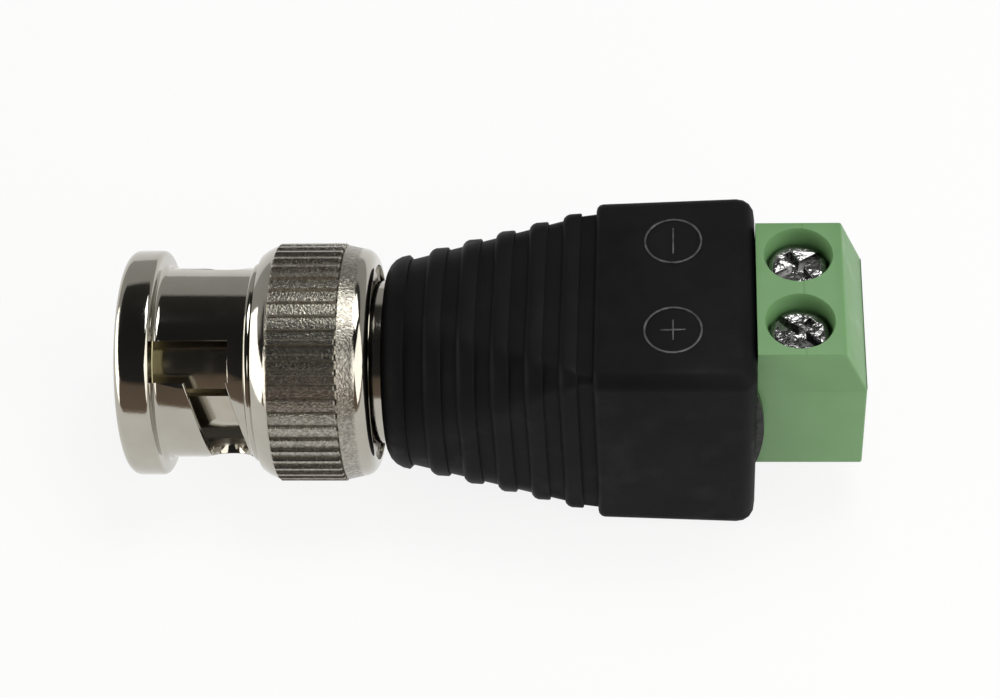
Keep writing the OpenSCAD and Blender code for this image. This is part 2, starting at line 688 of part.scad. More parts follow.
// A round wire between two places [y, z], straight at both ends, with a smooth S between
module wire(x0, x1, from, to) {
    bend_steps = 12;
    sides = 16;
    across = to - from;
    drop = norm(across);
    span = x1 - x0 - 2 * wire_stub;
    function section(x, s) = let (lean = atan(drop * PI / 2 * sin(180 * s) / span),
            y = drop * (1 - cos(180 * s)) / 2)
        [for (k = [0:sides - 1]) let (a = 360 * k / sides)
            [x - wire_r * cos(a) * sin(lean), y + wire_r * cos(a) * cos(lean), wire_r * sin(a)]];
    translate([0, from[0], from[1]]) rotate([atan2(across[1], across[0]), 0, 0])
        skin(concat([section(x0, 0)],
            [for (i = [0:bend_steps]) let (s = i / bend_steps) section(x0 + wire_stub + span * s, s)],
            [section(x1, 1)]));
}

module signal_wire()
    color([0.75, 0.15, 0.12])
        wire(pin_x1 - cup_depth + seat_gap, tail_x0 - seat_gap, [0, 0], [-pitch / 2, bar_mid]);

module ground_wire() {
    y = (shank_r + rear_insulator_r) / 2;
    color([0.15, 0.15, 0.16])
        wire(shank_x1 + seat_gap, tail_x0 - seat_gap, [y, 0], [pitch / 2, bar_mid]);
}

// The terminal block's side view, drawn in X and Z
module terminal_side()
    polygon([[block_x1 + seat_gap, term_bottom], [term_x1, term_bottom], [term_x1, term_top - slope_h],
        [term_x1 - slope_len, term_top], [block_x1 + seat_gap, term_top]]);

// One pole's hollows: cell, screw well, neck under the head, wire port and bar slot
module pole_hollows(y) {
    port_h = cage_window_h - bar_t - cage_gap;
    translate([screw_x - cell_len / 2, y - cell_w / 2, term_bottom - 1])
        cube([cell_len, cell_w, roof_bottom - term_bottom + 1]);
    translate([screw_x, y, head_seat - screw_play]) cylinder(r = screw_hole_r, h = far);
    translate([screw_x, y, roof_bottom - eps])
        cylinder(r = thread_r + neck_gap, h = head_seat - roof_bottom + eps);
    translate([screw_x, y, term_top - well_bevel])
        cylinder(r1 = screw_hole_r, r2 = screw_hole_r + well_bevel + eps, h = well_bevel + eps);
    translate([screw_x, y - port_w / 2, cage_window_bottom])
        cube([far, port_w, bar_bottom - cage_window_bottom]);
    hull() {
        translate([term_x1 - funnel_len, y - port_w / 2, cage_window_bottom])
            cube([eps, port_w, port_h]);
        translate([term_x1, y - port_w / 2 - funnel_wide, cage_window_bottom - funnel_wide])
            cube([eps, port_w + 2 * funnel_wide, port_h + 2 * funnel_wide]);
    }
    translate([tongue_x0 - 1, y - bar_w / 2 - seat_gap, bar_bottom - seat_gap])
        cube([screw_x - tongue_x0 + 1, bar_w + 2 * seat_gap, bar_t + 2 * seat_gap]);
}

module terminal_body()
    color([0.42, 0.6, 0.38]) difference() {
        union() {
            intersection() {
                translate([0, term_half, 0]) rotate([90, 0, 0]) linear_extrude(2 * term_half) terminal_side();
                union() {
                    translate([0, -term_half, side_step_z]) cube([far * 2, 2 * term_half, far]);
                    translate([0, side_step - term_half, term_bottom])
                        cube([far * 2, 2 * (term_half - side_step), far]);
                }
            }
            translate([tongue_x0, -tongue_half, tongue_bottom])
                cube([tongue_len + 1, 2 * tongue_half, tongue_top - tongue_bottom]);
        }
        for (side = [-1, 1]) pole_hollows(side * pitch / 2);
    }

// A clamp screw: head with a slot and a shorter cross, and a plain shank for its thread
module clamp_screw(y, drive_deg) {
    tip = bar_top + screw_play;
    edge = screw_bevel;
    translate([screw_x, y, 0]) difference() {
        rotate_extrude() polygon([[0, tip], [thread_r - edge, tip], [thread_r, tip + edge],
            [thread_r, head_seat], [head_r, head_seat], [head_r, head_top - edge],
            [head_r - edge, head_top], [0, head_top]]);
        rotate([0, 0, drive_deg]) {
            translate([-far / 2, -drive_w / 2, head_top - drive_depth]) cube([far, drive_w, 1]);
            translate([-drive_w / 2, -head_r * cross_share, head_top - drive_depth])
                cube([drive_w, 2 * head_r * cross_share, 1]);
        }
    }
}

module screw_plus() color([0.78, 0.78, 0.76]) clamp_screw(-pitch / 2, plus_drive_deg);
module screw_minus() color([0.78, 0.78, 0.76]) clamp_screw(pitch / 2, minus_drive_deg);

// A rising cage: a box with a window along X and a tapped hole in its top wall
module cage(y)
    translate([screw_x, y, 0]) difference() {
        translate([-cage_x_len / 2, -cage_w / 2, cage_z0]) cube([cage_x_len, cage_w, cage_z1 - cage_z0]);
        translate([-far / 2, -cage_window_w / 2, cage_window_bottom])
            cube([far, cage_window_w, cage_window_h]);
        translate([0, 0, cage_window_top - eps]) cylinder(r = thread_r + run_gap, h = cage_top + 1);
    }

module cage_plus() color([0.76, 0.7, 0.5]) cage(-pitch / 2);
module cage_minus() color([0.76, 0.7, 0.5]) cage(pitch / 2);

// A current bar that passes through the cage's window and ends in a solder tail
module contact_bar(y) {
    translate([tongue_x0, y - bar_w / 2, bar_bottom]) cube([bar_x1 - tongue_x0, bar_w, bar_t]);
    translate([tail_x0, y - tail_w / 2, bar_bottom]) cube([tail_len + eps, tail_w, bar_t]);
}

module contact_bar_plus() color([0.8, 0.79, 0.76]) contact_bar(-pitch / 2);
module contact_bar_minus() color([0.8, 0.79, 0.76]) contact_bar(pitch / 2);

coupling_sleeve();
retaining_ring();
thrust_washer();
wave_washer();
sealing_gasket();
contact_sleeve();
plug_insulator();
rear_insulator();
centre_pin();
plug_body();
housing();
sealing_resin();
signal_wire();
ground_wire();
terminal_body();
screw_plus();
screw_minus();
cage_plus();
cage_minus();
contact_bar_plus();
contact_bar_minus();
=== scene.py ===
import json
from math import radians
import bmesh
import bpy
from mathutils import Matrix, Vector


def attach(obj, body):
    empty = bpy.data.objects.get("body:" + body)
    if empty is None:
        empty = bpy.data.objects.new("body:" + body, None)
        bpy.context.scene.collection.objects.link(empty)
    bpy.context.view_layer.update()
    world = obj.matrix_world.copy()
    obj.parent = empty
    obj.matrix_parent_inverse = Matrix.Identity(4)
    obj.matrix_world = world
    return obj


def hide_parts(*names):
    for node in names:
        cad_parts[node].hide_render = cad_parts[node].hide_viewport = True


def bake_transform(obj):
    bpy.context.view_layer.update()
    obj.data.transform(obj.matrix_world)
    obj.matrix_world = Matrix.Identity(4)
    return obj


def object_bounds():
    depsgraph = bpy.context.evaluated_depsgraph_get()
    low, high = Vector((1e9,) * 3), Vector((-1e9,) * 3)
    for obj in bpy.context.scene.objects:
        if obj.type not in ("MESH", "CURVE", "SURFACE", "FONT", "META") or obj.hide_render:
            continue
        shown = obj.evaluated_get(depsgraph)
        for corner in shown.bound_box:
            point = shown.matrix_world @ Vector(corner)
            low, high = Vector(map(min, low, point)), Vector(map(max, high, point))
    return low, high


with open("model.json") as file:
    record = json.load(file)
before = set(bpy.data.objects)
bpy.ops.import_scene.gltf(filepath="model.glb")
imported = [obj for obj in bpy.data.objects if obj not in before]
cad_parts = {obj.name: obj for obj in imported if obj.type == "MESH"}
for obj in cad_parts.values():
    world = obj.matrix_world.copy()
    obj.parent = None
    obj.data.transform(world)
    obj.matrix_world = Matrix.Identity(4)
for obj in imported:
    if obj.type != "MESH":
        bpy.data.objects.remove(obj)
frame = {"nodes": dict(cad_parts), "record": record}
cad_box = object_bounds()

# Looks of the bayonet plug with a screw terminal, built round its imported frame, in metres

MM = 0.001

# Places and sizes of the solids, in millimetres: x along the plug's axis, z up from it
BARREL_RADIUS, BORE_RADIUS = 5.82, 5.25
KNURL_FRONT, BAND_REAR = 7.4, 12.6
CONTACT_TIP, TIP_REAR = -0.5, 0.95
HOUSING_TOP, HOUSING_DRAFT = 7.197, 0.02303
MARK_X = 31.53
BLOCK_HALF, BLOCK_TOP, BLOCK_BOTTOM, BLOCK_END = 5.08, 7.05, -3.63, 42.91
MOULD_LINE_FRONT, MOULD_LINE_REAR = 39.2, 39.28
SCREW_X, POLE_Y = 38.96, 2.54
HEAD_RADIUS, HEAD_HEIGHT, HEAD_MIDDLE = 1.76, 1.1, 5.45
CORE_RADIUS, CORE_LENGTH, CORE_MIDDLE = 1.2, 3.54, 3.2
THREAD_START, THREAD_PITCH = 1.9, 0.5

# Where the photograph was taken from, in millimetres, and the way that camera was turned
CAMERA_PLACE = (32.39, -104.21, 133.11)
CAMERA_RIGHT = (0.99768948, 0.03994726, -0.05495379)
CAMERA_UP = (0.00272787, 0.78466358, 0.61991582)
CAMERA_BACK = (0.06788418, -0.6186334, 0.78274163)
CAMERA_LENS, CAMERA_SENSOR = 99.37, 36

# Studio walls as the metal sees them: height as a share of straight up, with its colour
FRONT_WALL = ((0.0, (0.36, 0.3, 0.25)), (0.06, (0.2, 0.155, 0.12)), (0.46, (0.17, 0.13, 0.1)),
              (0.54, (0.03, 0.03, 0.03)), (1.0, (0.02, 0.02, 0.02)))
BACK_WALL = ((0.0, (0.46, 0.46, 0.45)), (0.6, (0.43, 0.43, 0.42)), (0.66, (0.045, 0.045, 0.042)),
             (1.0, (0.02, 0.02, 0.02)))

# Part of the floor's look that is plain white to the camera and to gloss
GLOW_SHARE = 0.86


# Camera, floor and light

def add_camera():
    """Puts the camera where the photograph was taken from."""
    camera = bpy.data.objects.new("camera", bpy.data.cameras.new("camera"))
    turn = Matrix((CAMERA_RIGHT, CAMERA_UP, CAMERA_BACK)).transposed().to_4x4()
    camera.matrix_world = Matrix.Translation(Vector(CAMERA_PLACE) * MM) @ turn
    camera.data.lens = CAMERA_LENS
    camera.data.sensor_width = CAMERA_SENSOR
    camera.data.clip_start = 0.01
    camera.data.clip_end = 20
    bpy.context.scene.collection.objects.link(camera)
    bpy.context.scene.camera = camera


def add_lamp(name, place, aim, size, watts, colour):
    """Adds a soft rectangular lamp at a place, turned towards an aim, both in millimetres."""
    data = bpy.data.lights.new(name, "AREA")
    data.shape = "RECTANGLE"
    data.size, data.size_y = size[0] * MM, size[1] * MM
    data.energy = watts
    data.color = colour
    lamp = bpy.data.objects.new(name, data)
    spot = Vector(place) * MM
    lamp.location = spot
    lamp.rotation_euler = (spot - Vector(aim) * MM).to_track_quat("Z", "Y").to_euler()
    bpy.context.scene.collection.objects.link(lamp)


def add_world():
    """White for the camera. For all else a studio: grey backdrop behind, dim room in front, dark overhead."""
    world = bpy.data.worlds.new("studio")
    bpy.context.scene.world = world
    world.use_nodes = True
    tree = world.node_tree
    tree.nodes.clear()
    link = tree.links.new
    place = tree.nodes.new("ShaderNodeTexCoord")
    split = tree.nodes.new("ShaderNodeSeparateXYZ")
    link(place.outputs["Generated"], split.inputs[0])
    walls = []
    for stops in (FRONT_WALL, BACK_WALL):
        ramp = tree.nodes.new("ShaderNodeValToRGB")
        link(split.outputs["Z"], ramp.inputs[0])
        ends = ramp.color_ramp.elements
        ends[0].position, ends[0].color = stops[0][0], (*stops[0][1], 1)
        ends[1].position, ends[1].color = stops[-1][0], (*stops[-1][1], 1)
        for where, colour in stops[1:-1]:
            ends.new(where).color = (*colour, 1)
        walls.append(ramp.outputs[0])
    behind = spread(tree, split.outputs["Y"], -0.1, 0.1)
    dome = tree.nodes.new("ShaderNodeBackground")
    link(mix_colour(tree, behind, walls[0], walls[1]), dome.inputs["Color"])
    white = tree.nodes.new("ShaderNodeBackground")
    white.inputs["Color"].default_value = (1, 1, 1, 1)
    path = tree.nodes.new("ShaderNodeLightPath")
    pick = tree.nodes.new("ShaderNodeMixShader")
    link(path.outputs["Is Camera Ray"], pick.inputs[0])
    link(dome.outputs[0], pick.inputs[1])
    link(white.outputs[0], pick.inputs[2])
    out = tree.nodes.new("ShaderNodeOutputWorld")
    link(pick.outputs[0], out.inputs[0])


def add_floor():
    """A pale floor under the part, white to the camera and to gloss, which keeps the part's shadow."""
    bpy.ops.mesh.primitive_plane_add(size=1.6, location=(0.02, 0, cad_box[0][2] - 0.00002))
    floor = bpy.context.object
    floor.name = "floor"
    material = bpy.data.materials.new("floor_white")
    material.use_nodes = True
    tree = material.node_tree
    tree.nodes.clear()
    link = tree.links.new
    paper = tree.nodes.new("ShaderNodeBsdfDiffuse")
    paper.inputs["Color"].default_value = (0.9, 0.9, 0.9, 1)
    glow = tree.nodes.new("ShaderNodeEmission")
    glow.inputs["Color"].default_value = (1, 1, 1, 1)
    path = tree.nodes.new("ShaderNodeLightPath")
    share = None
    for ray in ("Is Camera Ray", "Is Glossy Ray", "Is Transmission Ray"):
        step = tree.nodes.new("ShaderNodeMath")
        step.operation = "MULTIPLY_ADD"
        step.use_clamp = True
        link(path.outputs[ray], step.inputs[0])
        step.inputs[1].default_value = GLOW_SHARE
        step.inputs[2].default_value = 0.0
        if share:
            link(share.outputs[0], step.inputs[2])
        share = step
    mix = tree.nodes.new("ShaderNodeMixShader")
    link(share.outputs[0], mix.inputs[0])
    link(paper.outputs[0], mix.inputs[1])
    link(glow.outputs[0], mix.inputs[2])
    out = tree.nodes.new("ShaderNodeOutputMaterial")
    link(mix.outputs[0], out.inputs[0])
    floor.data.materials.append(material)


# Finishes

def new_group(name, inputs, outputs):
    """Starts a shader node group with float inputs, each with its default, and typed outputs."""
    tree = bpy.data.node_groups.new(name, "ShaderNodeTree")
    for label, value in inputs:
        socket = tree.interface.new_socket(label, in_out="INPUT", socket_type="NodeSocketFloat")
        socket.default_value = value
    for label, kind in outputs:
        tree.interface.new_socket(label, in_out="OUTPUT", socket_type=kind)
    return tree, tree.nodes.new("NodeGroupInput"), tree.nodes.new("NodeGroupOutput")


def noise(tree, scale, detail):
    """A noise texture on the piece's own coordinates, with its scale from a socket."""
    node = tree.nodes.new("ShaderNodeTexNoise")
    node.inputs["Detail"].default_value = detail
    node.inputs["Roughness"].default_value = 0.5
    place = tree.nodes.new("ShaderNodeTexCoord")
    tree.links.new(place.outputs["Object"], node.inputs["Vector"])
    tree.links.new(scale, node.inputs["Scale"])
    return node.outputs["Fac"]


def spread(tree, value, low, high, to_low=0.0, to_high=1.0):
    """Maps a value from one range to another, held at the ends."""
    node = tree.nodes.new("ShaderNodeMapRange")
    node.clamp = True
    tree.links.new(value, node.inputs["Value"])
    for label, number in (("From Min", low), ("From Max", high), ("To Min", to_low), ("To Max", to_high)):
        if isinstance(number, (int, float)):
            node.inputs[label].default_value = number
        else:
            tree.links.new(number, node.inputs[label])
    return node.outputs[0]


def build_groups():
    """The effects that several finishes share."""
    # fine grain of a moulded or plated skin, and wide patches for its tone
    tree, given, out = new_group("skin_grain", [("Scale", 9000.0), ("Patch Scale", 700.0)],
                                 [("Height", "NodeSocketFloat"), ("Patches", "NodeSocketFloat")])
    fine = noise(tree, given.outputs["Scale"], 3)
    slow = noise(tree, given.outputs["Patch Scale"], 2)
    tree.links.new(fine, out.inputs["Height"])
    tree.links.new(spread(tree, slow, 0.3, 0.7), out.inputs["Patches"])
    # spots that handling has rubbed
    tree, given, out = new_group("handling", [("Rub Scale", 500.0)], [("Rubs", "NodeSocketFloat")])
    rub = noise(tree, given.outputs["Rub Scale"], 4)
    tree.links.new(spread(tree, rub, 0.52, 0.7), out.inputs["Rubs"])


def put_group(tree, name, **values):
    """Places a shared effect in a material with its own values."""
    node = tree.nodes.new("ShaderNodeGroup")
    node.node_tree = bpy.data.node_groups[name]
    for label, value in values.items():
        node.inputs[label.replace("_", " ")].default_value = value
    return node


def mix_colour(tree, factor, first, second):
    """Mixes two colours by a factor that varies over the surface."""
    node = tree.nodes.new("ShaderNodeMix")
    node.data_type = "RGBA"
    tree.links.new(factor, node.inputs["Factor"])
    for socket, colour in ((node.inputs["A"], first), (node.inputs["B"], second)):
        if isinstance(colour, tuple):
            socket.default_value = (*colour, 1)
        else:
            tree.links.new(colour, socket)
    return node.outputs["Result"]


def new_finish(name, metallic=0.0, specular=0.5):
    """Starts a material with its shader."""
    material = bpy.data.materials.new(name)
    material.use_nodes = True
    tree = material.node_tree
    shader = tree.nodes["Principled BSDF"]
    shader.inputs["Metallic"].default_value = metallic
    shader.inputs["Specular IOR Level"].default_value = specular
    return material, tree, shader


def add_bump(tree, shader, height, distance):
    """Feeds a height from 0 to 1, as deep as a distance in metres, into the shader's normal."""
    bump = tree.nodes.new("ShaderNodeBump")
    bump.inputs["Strength"].default_value = 1.0
    bump.inputs["Distance"].default_value = distance
    tree.links.new(height, bump.inputs["Height"])
    tree.links.new(bump.outputs[0], shader.inputs["Normal"])


def metal_finish(name, bright, dull, smooth, rough, grain=7000.0, depth=2e-6):
    """Plated or bare metal: its tone varies in patches, and rubbed spots are duller."""
    material, tree, shader = new_finish(name, metallic=1.0)
    skin = put_group(tree, "skin_grain", Scale=grain, Patch_Scale=450.0)
    marks = put_group(tree, "handling")
    tone = mix_colour(tree, skin.outputs["Patches"], bright, dull)
    tone = mix_colour(tree, marks.outputs["Rubs"], tone, dull)
    tree.links.new(tone, shader.inputs["Base Color"])
    gloss = spread(tree, marks.outputs["Rubs"], 0.0, 1.0, smooth, rough)
    tree.links.new(gloss, shader.inputs["Roughness"])
    add_bump(tree, shader, skin.outputs["Height"], depth)
    return material


def plastic_finish(name, colour, wear_tone_and_highlight, smooth, rough, grain=6000.0, depth=6e-6, specular=0.5, patch=350.0):
    """Moulded plastic: a fine eroded skin in patches of two tones, glossier where it is rubbed."""
    material, tree, shader = new_finish(name, specular=specular)
    skin = put_group(tree, "skin_grain", Scale=grain, Patch_Scale=patch)
    marks = put_group(tree, "handling")
    # the second tone varies at random; on the polarity marks it is a painted highlight
    tone = mix_colour(tree, skin.outputs["Patches"], colour, wear_tone_and_highlight)
    tree.links.new(tone, shader.inputs["Base Color"])
    gloss = spread(tree, marks.outputs["Rubs"], 0.0, 1.0, rough, smooth)
    tree.links.new(gloss, shader.inputs["Roughness"])
    add_bump(tree, shader, skin.outputs["Height"], depth)
    return material


def place_along(tree, axis):
    """The piece's own X, Y or Z at each point, in metres."""
    place = tree.nodes.new("ShaderNodeTexCoord")
    split = tree.nodes.new("ShaderNodeSeparateXYZ")
    tree.links.new(place.outputs["Object"], split.inputs[0])
    return split.outputs[axis]


def between(tree, low, high, fade=0.1):
    """Mask of a zone along the plug's axis, with its ends in millimetres."""
    x = place_along(tree, "X")
    start = spread(tree, x, (low - fade) * MM, (low + fade) * MM)
    stop = spread(tree, x, (high - fade) * MM, (high + fade) * MM)
    node = tree.nodes.new("ShaderNodeMath")
    node.operation = "SUBTRACT"
    tree.links.new(start, node.inputs[0])
    tree.links.new(stop, node.inputs[1])
    return node.outputs[0]


def inside_radius(tree, limit):
    """Mask of what lies within a radius of the plug's axis, in millimetres."""
    place = tree.nodes.new("ShaderNodeTexCoord")
    across = tree.nodes.new("ShaderNodeVectorMath")
    across.operation = "MULTIPLY"
    across.inputs[1].default_value = (0, 1, 1)
    tree.links.new(place.outputs["Object"], across.inputs[0])
    radius = tree.nodes.new("ShaderNodeVectorMath")
    radius.operation = "LENGTH"
    tree.links.new(across.outputs[0], radius.inputs[0])
    return spread(tree, radius.outputs["Value"], (limit - 0.1) * MM, (limit + 0.1) * MM, 1.0, 0.0)


def product(tree, first, second, plus=0.0):
    """First times second, plus a third value."""
    node = tree.nodes.new("ShaderNodeMath")
    node.operation = "MULTIPLY_ADD"
    for socket, value in zip(node.inputs, (first, second, plus)):
        if isinstance(value, (int, float)):
            socket.default_value = value
        else:
            tree.links.new(value, socket)
    return node.outputs[0]


def sleeve_finish():
    """Bright nickel. The knurl and the band behind it are speckled, where the plating lies on rough brass."""
    material, tree, shader = new_finish("sleeve_plate", metallic=1.0)
    skin = put_group(tree, "skin_grain", Scale=7000.0, Patch_Scale=450.0)
    pits = put_group(tree, "skin_grain", Scale=8200.0, Patch_Scale=5200.0)
    marks = put_group(tree, "handling")
    zone = between(tree, KNURL_FRONT, BAND_REAR)
    tone = mix_colour(tree, skin.outputs["Patches"], (0.45, 0.43, 0.375), (0.41, 0.39, 0.34))
    tone = mix_colour(tree, product(tree, zone, pits.outputs["Patches"]), tone, (0.22, 0.205, 0.175))
    # the darker colour inside the bore is painted shade; it is also rougher there
    painted_bore_shade = inside_radius(tree, BORE_RADIUS)
    tone = mix_colour(tree, painted_bore_shade, tone, (0.2, 0.18, 0.15))
    tree.links.new(tone, shader.inputs["Base Color"])
    gloss = spread(tree, marks.outputs["Rubs"], 0.0, 1.0, 0.07, 0.12)
    gloss = spread(tree, zone, 0.0, 1.0, gloss, 0.27)
    tree.links.new(spread(tree, painted_bore_shade, 0.0, 1.0, gloss, 0.45), shader.inputs["Roughness"])
    fine = product(tree, skin.outputs["Height"], 0.06)
    add_bump(tree, shader, product(tree, zone, pits.outputs["Height"], fine), 3.2e-5)
    return material


def contact_finish():
    """Thin nickel over brass, with a brass tone at the contact's tip: partly bare brass, partly a painted
    warm reflection.
    """
    material, tree, shader = new_finish("contact_plate", metallic=1.0)
    skin = put_group(tree, "skin_grain", Scale=7000.0, Patch_Scale=500.0)
    marks = put_group(tree, "handling")
    tone = mix_colour(tree, skin.outputs["Patches"], (0.46, 0.43, 0.36), (0.4, 0.375, 0.31))
    # brass tone at the tip: partly bare brass, partly a painted reflection of warm light from the front mouth
    tip_brass_and_reflection = between(tree, CONTACT_TIP, TIP_REAR, 0.15)
    tone = mix_colour(tree, tip_brass_and_reflection, tone, (0.5, 0.45, 0.26))
    tree.links.new(tone, shader.inputs["Base Color"])
    tree.links.new(spread(tree, marks.outputs["Rubs"], 0.0, 1.0, 0.16, 0.26), shader.inputs["Roughness"])
    add_bump(tree, shader, skin.outputs["Height"], 3e-6)
    return material


def block_finish():
    """Green moulding, with the faint mould line that crosses the block's top."""
    material = plastic_finish("green_moulding", (0.13, 0.275, 0.108), (0.142, 0.292, 0.12), 0.32, 0.45)
    tree = material.node_tree
    base = tree.nodes["Principled BSDF"].inputs["Base Color"]
    plain = base.links[0].from_socket
    top = spread(tree, place_along(tree, "Z"), 6.95 * MM, 7.03 * MM)
    line = product(tree, between(tree, MOULD_LINE_FRONT, MOULD_LINE_REAR, 0.05), top)
    tree.links.new(mix_colour(tree, line, plain, (0.1, 0.215, 0.085)), base)
    return material


def build_finishes():
    """One finish for each of the record's material slots, and those of the sleeve, contact and marks.

    Each of the plain ones has its two tones, then its roughness where it is smooth and where it is rough.
    """
    return {
        "sleeve_plate": sleeve_finish(),
        "contact_plate": contact_finish(),
        # the marks' lighter tone in patches is a painted highlight, for the light that the raised lines catch
        "mark_painted_highlight": plastic_finish("mark_painted_highlight", (0.006, 0.006, 0.007), (0.075, 0.077, 0.08), 0.3, 0.42,
                                    patch=1500.0),
        "nickel_plate": metal_finish("nickel_plate", (0.45, 0.43, 0.375), (0.4, 0.38, 0.335), 0.1, 0.18),
        "spring_steel": metal_finish("spring_steel", (0.62, 0.61, 0.6), (0.5, 0.49, 0.48), 0.22, 0.34),
        "gasket_rubber": plastic_finish("gasket_rubber", (0.03, 0.03, 0.03), (0.045, 0.044, 0.042),
                                        0.6, 0.75),
        "contact_brass": metal_finish("contact_brass", (0.72, 0.64, 0.42), (0.6, 0.52, 0.33), 0.18, 0.3),
        "white_insulator": plastic_finish("white_insulator", (0.82, 0.81, 0.77), (0.76, 0.75, 0.7),
                                          0.35, 0.5),
        "gold_plate": metal_finish("gold_plate", (0.86, 0.66, 0.3), (0.75, 0.56, 0.24), 0.12, 0.22),
        "black_moulding": plastic_finish("black_moulding", (0.005, 0.0051, 0.0056), (0.0075, 0.0077, 0.0085),
                                         0.4, 0.55, specular=0.07),
        "black_resin": plastic_finish("black_resin", (0.003, 0.003, 0.003), (0.005, 0.005, 0.005), 0.14, 0.3,
                                      grain=1400.0, depth=9e-5, specular=0.3),
        "red_insulation": plastic_finish("red_insulation", (0.5, 0.02, 0.015), (0.44, 0.018, 0.014),
                                         0.3, 0.42),
        "black_insulation": plastic_finish("black_insulation", (0.02, 0.02, 0.02), (0.03, 0.03, 0.03),
                                           0.3, 0.42),
        "green_moulding": block_finish(),
        "zinc_plate": metal_finish("zinc_plate", (0.42, 0.42, 0.42), (0.2, 0.2, 0.2), 0.16, 0.24,
                                   grain=1500.0, depth=8e-5),
        "cage_plate": metal_finish("cage_plate", (0.74, 0.68, 0.5), (0.62, 0.56, 0.4), 0.22, 0.36),
        "tinned_copper": metal_finish("tinned_copper", (0.76, 0.75, 0.72), (0.62, 0.61, 0.58), 0.25, 0.4),
    }


def dress_frame(finishes):
    """Gives each CAD node the finish of its slot."""
    for part in frame["record"]["subparts"]:
        node = frame["nodes"][part["node"]]
        node.data.materials.clear()
        node.data.materials.append(finishes[part["material_slot"]])
    frame["nodes"]["contact_sleeve"].data.materials[0] = finishes["contact_plate"]


# Modelling

def only(piece):
    """Makes a piece the one that is selected and active."""
    bpy.ops.object.select_all(action="DESELECT")
    piece.select_set(True)
    bpy.context.view_layer.objects.active = piece


def named(name):
    """Names the primitive that was just added."""
    piece = bpy.context.object
    piece.name = name
    piece.data.name = name
    return piece


def select(piece, kind, wanted):
    """In edit mode, selects only the faces, edges or verts that a test wants."""
    bpy.ops.mesh.select_mode(type={"verts": "VERT", "edges": "EDGE", "faces": "FACE"}[kind])
    bpy.ops.mesh.select_all(action="DESELECT")
    mesh = bmesh.from_edit_mesh(piece.data)
    for item in getattr(mesh, kind):
        if wanted(item):
            item.select_set(True)
    mesh.select_flush_mode()
    bmesh.update_edit_mesh(piece.data)


def edge_fold(edge):
    """Angle between an edge's two faces, positive where the edge stands out."""
    return edge.calc_face_angle_signed(0.0) if len(edge.link_faces) == 2 else 0.0


def middle(edge):
    """Middle of an edge, in millimetres."""
    return (edge.verts[0].co + edge.verts[1].co) / (2 * MM)


def apply(piece, kind, name, **values):
    """Adds a modifier with its values and applies it."""
    only(piece)
    modifier = piece.modifiers.new(name, kind)
    for label, value in values.items():
        setattr(modifier, label, value)
    bpy.ops.object.modifier_apply(modifier=name)


def join(main, *others):
    """Makes other objects part of the main one's mesh."""
    only(main)
    for part in others:
        part.select_set(True)
    bpy.ops.object.join()


def grow_arms(square, side, arms):
    """In edit mode, draws an arm out of a square on each way, as far as its reach in millimetres."""
    for way, reach in arms:
        way = Vector(way)
        select(square, "edges", lambda e: (middle(e) * MM).xy.dot(way.xy) > side * 0.4
               and abs((middle(e) * MM).xy.dot(way.yx)) < side * 0.1)
        bpy.ops.mesh.extrude_edges_move(TRANSFORM_OT_translate={"value": way * reach * MM})


def tidy_mesh(piece, angle):
    """Merges doubles, turns all faces outwards and shades the piece smooth between its edges."""
    only(piece)
    bpy.ops.object.mode_set(mode="EDIT")
    bpy.ops.mesh.select_all(action="SELECT")
    bpy.ops.mesh.remove_doubles(threshold=0.0005 * MM)
    bpy.ops.mesh.normals_make_consistent(inside=False)
    bpy.ops.object.mode_set(mode="OBJECT")
    bpy.ops.object.shade_smooth_by_angle(angle=radians(angle))


def cad_copy(node, name):
    """A copy of a CAD node's shape as one closed mesh, to be worked on."""
    piece = bpy.data.objects.new(name, frame["nodes"][node].data.copy())
    piece.data.name = name
    bpy.context.scene.collection.objects.link(piece)
    only(piece)
    bpy.ops.mesh.customdata_custom_splitnormals_clear()
    bpy.ops.object.mode_set(mode="EDIT")
    bpy.ops.mesh.select_all(action="SELECT")
    bpy.ops.mesh.remove_doubles(threshold=0.0005 * MM)
    bpy.ops.object.mode_set(mode="OBJECT")
    return piece


def finish_piece(piece, body, slot, finish, *replaced):
    """Puts a piece on its body, with its finish, in place of the CAD nodes that it stands for. Its slot is
    not used.
    """
    piece.data.materials.clear()
    piece.data.materials.append(finish)
    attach(piece, body)
    if replaced:
        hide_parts(*replaced)


# Coupling sleeve

def model_sleeve(finishes):
    """The plated sleeve, with the edges of its cam slots broken."""
    sleeve = cad_copy("coupling_sleeve", "bayonet_sleeve")
    bpy.ops.object.mode_set(mode="EDIT")
    select(sleeve, "edges", lambda e: edge_fold(e) > 0.8 and on_slot_rim(middle(e)))
    bpy.ops.mesh.bevel(offset=0.07 * MM, segments=2)
    bpy.ops.object.mode_set(mode="OBJECT")
    tidy_mesh(sleeve, 30)
    finish_piece(sleeve, "coupling", "nickel_plate", finishes["sleeve_plate"], "coupling_sleeve")


def on_slot_rim(place):
    """Whether a place lies on a cam slot's edge at the barrel's surface."""
    return 0.9 < place.x < 7.2 and abs(place.yz.length - BARREL_RADIUS) < 0.05


# Housing with its polarity marks

def model_housing(finishes):
    """The ribbed shell, smooth along its ribs and round its corners."""
    shell = cad_copy("housing", "housing_shell")
    tidy_mesh(shell, 34)
    finish_piece(shell, "adapter", "black_moulding", finishes["black_moulding"], "housing")


